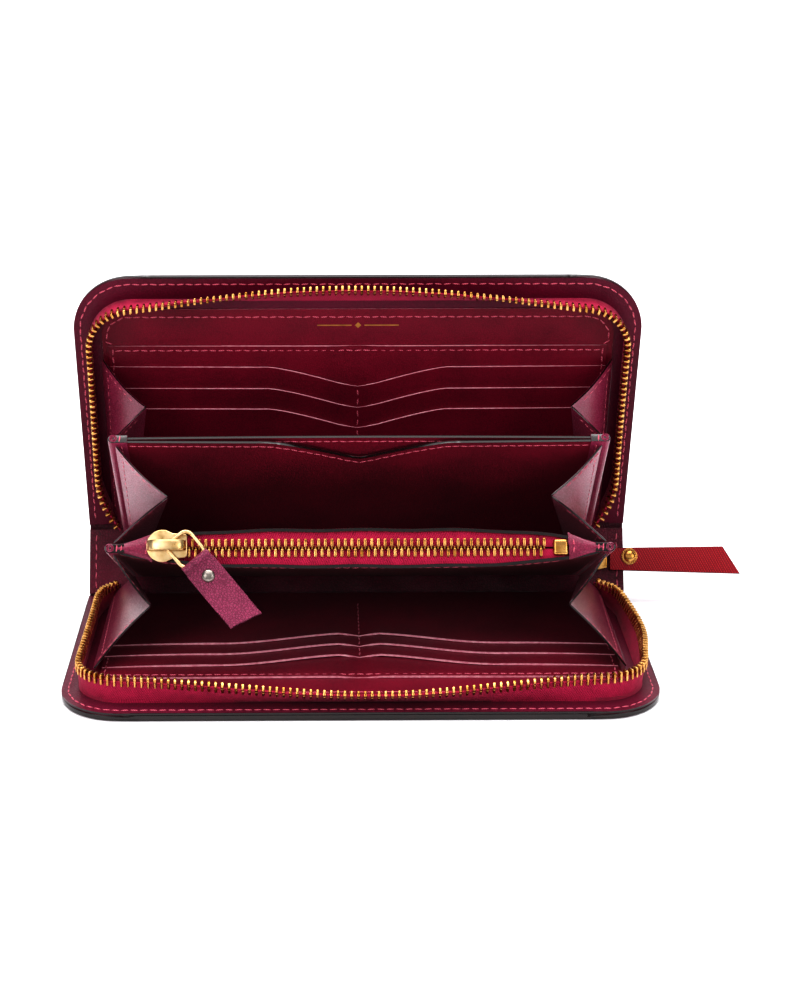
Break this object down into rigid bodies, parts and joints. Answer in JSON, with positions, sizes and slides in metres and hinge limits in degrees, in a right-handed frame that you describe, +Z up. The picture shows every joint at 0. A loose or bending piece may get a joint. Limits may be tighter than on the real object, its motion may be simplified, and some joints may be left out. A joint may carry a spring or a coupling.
{
  "type": "long wallet",
  "caption": "Long zip-around leather wallet standing open, with card slots in both covers, a divider, a zipped coin pocket and folding side gussets.",
  "frame": {"origin": "centre of the lower cover's underside, on the surface the wallet stands on", "axes": "+X along the folds to the side of the zip pull, -Y out of the open mouth, +Z up; the spine is at +Y"},
  "size_m": [0.2371, 0.114, 0.1237],
  "materials": {
    "board": "hidden fibre board",
    "coin_pull_leather": "grained leather",
    "cover_leather": "grained oxblood leather",
    "gold": "polished gold",
    "gusset_leather": "glossy grained oxblood leather",
    "lining_leather": "smooth glazed oxblood leather",
    "nickel": "polished nickel",
    "satin_gold": "satin pale gold",
    "zip_pull_leather": "cross-hatched red leather",
    "zip_tape": "raspberry twill tape"
  },
  "bodies": {
    "lower_cover": {"lower_bill_pocket": "lining_leather", "lower_card_backing": "lining_leather", "lower_card_slot_1": "lining_leather", "lower_card_slot_2": "lining_leather", "lower_card_slot_3": "lining_leather", "lower_cover_board": "board", "lower_cover_leather": "cover_leather", "lower_cover_lining": "lining_leather", "lower_zip_tape": "zip_tape", "lower_zip_teeth": "gold"},
    "spine": {"spine_leather": "cover_leather", "spine_lining": "lining_leather", "spine_stiffener": "board", "zip_slider": "satin_gold"},
    "upper_cover": {"upper_bill_pocket": "lining_leather", "upper_card_backing": "lining_leather", "upper_card_slot_1": "lining_leather", "upper_card_slot_2": "lining_leather", "upper_card_slot_3": "lining_leather", "upper_cover_board": "board", "upper_cover_leather": "cover_leather", "upper_cover_lining": "lining_leather", "upper_zip_tape": "zip_tape", "upper_zip_teeth": "gold"},
    "divider": {"divider_edge_left": "lining_leather", "divider_edge_right": "lining_leather", "divider_front_panel": "lining_leather", "divider_rear_panel": "lining_leather"},
    "coin_pocket": {"coin_bottom_stop": "gold", "coin_edge_left": "lining_leather", "coin_edge_right": "lining_leather", "coin_end_tab_left": "lining_leather", "coin_end_tab_right": "lining_leather", "coin_tape_front": "zip_tape", "coin_tape_rear": "zip_tape", "coin_teeth_front": "gold", "coin_teeth_rear": "gold", "coin_wall_front": "lining_leather", "coin_wall_rear": "lining_leather"},
    "coin_slider": {"coin_slider": "satin_gold"},
    "coin_pull": {"coin_pull_leather": "coin_pull_leather", "coin_pull_ring": "satin_gold", "coin_pull_rivet": "nickel"},
    "zip_pull": {"zip_pull_leather": "zip_pull_leather", "zip_pull_rivet": "satin_gold"},
    "gusset_left_lower_bottom": {"gusset_left_lower_bottom": "gusset_leather"},
    "gusset_left_lower_top": {"gusset_left_lower_top": "gusset_leather"},
    "gusset_left_middle_bottom": {"gusset_left_middle_bottom": "gusset_leather"},
    "gusset_left_middle_top": {"gusset_left_middle_top": "gusset_leather"},
    "gusset_left_upper_bottom": {"gusset_left_upper_bottom": "gusset_leather"},
    "gusset_left_upper_top": {"gusset_left_upper_top": "gusset_leather"},
    "gusset_right_lower_bottom": {"gusset_right_lower_bottom": "gusset_leather"},
    "gusset_right_lower_top": {"gusset_right_lower_top": "gusset_leather"},
    "gusset_right_middle_bottom": {"gusset_right_middle_bottom": "gusset_leather"},
    "gusset_right_middle_top": {"gusset_right_middle_top": "gusset_leather"},
    "gusset_right_upper_bottom": {"gusset_right_upper_bottom": "gusset_leather"},
    "gusset_right_upper_top": {"gusset_right_upper_top": "gusset_leather"}
  },
  "joints": [
    {"name": "cover_fold", "type": "hinge", "parent": "spine", "child": "upper_cover", "pos_m": [0, 0.06187, 0.02518], "axis": [1, 0, 0], "range_deg": [-8, 50.9]},
    {"name": "spine_fold", "type": "hinge", "parent": "lower_cover", "child": "spine", "pos_m": [0, 0.0505, 0.00135], "axis": [1, 0, 0], "range_deg": [-4.03, 25.52]},
    {"name": "divider_fold", "type": "hinge", "parent": "spine", "child": "divider", "pos_m": [0, 0.05564, 0.0184], "axis": [1, 0, 0], "range_deg": [-4.01, 25.42]},
    {"name": "coin_pocket_fold", "type": "hinge", "parent": "spine", "child": "coin_pocket", "pos_m": [0, 0.05185, 0.01046], "axis": [1, 0, 0], "range_deg": [-0.37, 2.22]},
    {"name": "gusset_left_lower_bottom_fold", "type": "hinge", "parent": "lower_cover", "child": "gusset_left_lower_bottom", "pos_m": [-0.088, 0.0505, 0.0052], "axis": [0, 1, 0], "range_deg": [-6.9, 43.79]},
    {"name": "gusset_left_lower_top_fold", "type": "hinge", "parent": "coin_pocket", "child": "gusset_left_lower_top", "pos_m": [-0.081, 0.05087, 0.0086], "axis": [0, 0.8854, -0.4648], "range_deg": [-49.71, 7.83]},
    {"name": "gusset_left_middle_bottom_fold", "type": "hinge", "parent": "coin_pocket", "child": "gusset_left_middle_bottom", "pos_m": [-0.081, 0.05283, 0.01231], "axis": [0, 0.8854, -0.4648], "range_deg": [-5.6, 35.55]},
    {"name": "gusset_left_middle_top_fold", "type": "hinge", "parent": "divider", "child": "gusset_left_middle_top", "pos_m": [-0.081, 0.05401, 0.01707], "axis": [0, 0.6307, -0.776], "range_deg": [-38.86, 6.12]},
    {"name": "gusset_left_upper_bottom_fold", "type": "hinge", "parent": "divider", "child": "gusset_left_upper_bottom", "pos_m": [-0.081, 0.05727, 0.01972], "axis": [0, 0.6307, -0.776], "range_deg": [-8.72, 55.39]},
    {"name": "gusset_left_upper_top_fold", "type": "hinge", "parent": "upper_cover", "child": "gusset_left_upper_top", "pos_m": [-0.088, 0.05812, 0.02427], "axis": [0, 0.2351, -0.972], "range_deg": [-46.18, 7.28]},
    {"name": "gusset_right_lower_bottom_fold", "type": "hinge", "parent": "lower_cover", "child": "gusset_right_lower_bottom", "pos_m": [0.088, 0.0505, 0.0052], "axis": [0, 1, 0], "range_deg": [-43.79, 6.9]},
    {"name": "gusset_right_lower_top_fold", "type": "hinge", "parent": "coin_pocket", "child": "gusset_right_lower_top", "pos_m": [0.081, 0.05087, 0.0086], "axis": [0, 0.8854, -0.4648], "range_deg": [-7.83, 49.71]},
    {"name": "gusset_right_middle_bottom_fold", "type": "hinge", "parent": "coin_pocket", "child": "gusset_right_middle_bottom", "pos_m": [0.081, 0.05283, 0.01231], "axis": [0, 0.8854, -0.4648], "range_deg": [-35.55, 5.6]},
    {"name": "gusset_right_middle_top_fold", "type": "hinge", "parent": "divider", "child": "gusset_right_middle_top", "pos_m": [0.081, 0.05401, 0.01707], "axis": [0, 0.6307, -0.776], "range_deg": [-6.12, 38.86]},
    {"name": "gusset_right_upper_bottom_fold", "type": "hinge", "parent": "divider", "child": "gusset_right_upper_bottom", "pos_m": [0.081, 0.05727, 0.01972], "axis": [0, 0.6307, -0.776], "range_deg": [-55.39, 8.72]},
    {"name": "gusset_right_upper_top_fold", "type": "hinge", "parent": "upper_cover", "child": "gusset_right_upper_top", "pos_m": [0.088, 0.05812, 0.02427], "axis": [0, 0.2351, -0.972], "range_deg": [-7.28, 46.18]},
    {"name": "coin_slider_run", "type": "slide", "parent": "coin_pocket", "child": "coin_slider", "axis": [1, 0, 0], "range_m": [0, 0.112]},
    {"name": "coin_pull_swing", "type": "hinge", "parent": "coin_slider", "child": "coin_pull", "pos_m": [-0.0581, -0.01525, 0.04636], "axis": [0, -0.8854, 0.4648], "range_deg": [-7.88, 50.02]},
    {"name": "zip_pull_swing", "type": "hinge", "parent": "spine", "child": "zip_pull", "pos_m": [0.0926, 0.0528, 0.01488], "axis": [0, 0.4305, 0.9026], "range_deg": [-55, 10]}
  ],
  "couplings": [
    {"joint": "spine_fold", "follows": "cover_fold", "ratio": 0.50098},
    {"joint": "divider_fold", "follows": "cover_fold", "ratio": 0.49902},
    {"joint": "coin_pocket_fold", "follows": "cover_fold", "ratio": 0.043222},
    {"joint": "gusset_left_lower_bottom_fold", "follows": "cover_fold", "ratio": 0.86},
    {"joint": "gusset_left_lower_top_fold", "follows": "cover_fold", "ratio": -0.97629},
    {"joint": "gusset_left_middle_bottom_fold", "follows": "cover_fold", "ratio": 0.69799},
    {"joint": "gusset_left_middle_top_fold", "follows": "cover_fold", "ratio": -0.76302},
    {"joint": "gusset_left_upper_bottom_fold", "follows": "cover_fold", "ratio": 1.0877},
    {"joint": "gusset_left_upper_top_fold", "follows": "cover_fold", "ratio": -0.90685},
    {"joint": "gusset_right_lower_bottom_fold", "follows": "cover_fold", "ratio": -0.86},
    {"joint": "gusset_right_lower_top_fold", "follows": "cover_fold", "ratio": 0.97629},
    {"joint": "gusset_right_middle_bottom_fold", "follows": "cover_fold", "ratio": -0.69799},
    {"joint": "gusset_right_middle_top_fold", "follows": "cover_fold", "ratio": 0.76302},
    {"joint": "gusset_right_upper_bottom_fold", "follows": "cover_fold", "ratio": -1.0877},
    {"joint": "gusset_right_upper_top_fold", "follows": "cover_fold", "ratio": 0.90685},
    {"joint": "coin_pull_swing", "follows": "cover_fold", "ratio": 0.98232}
  ]
}
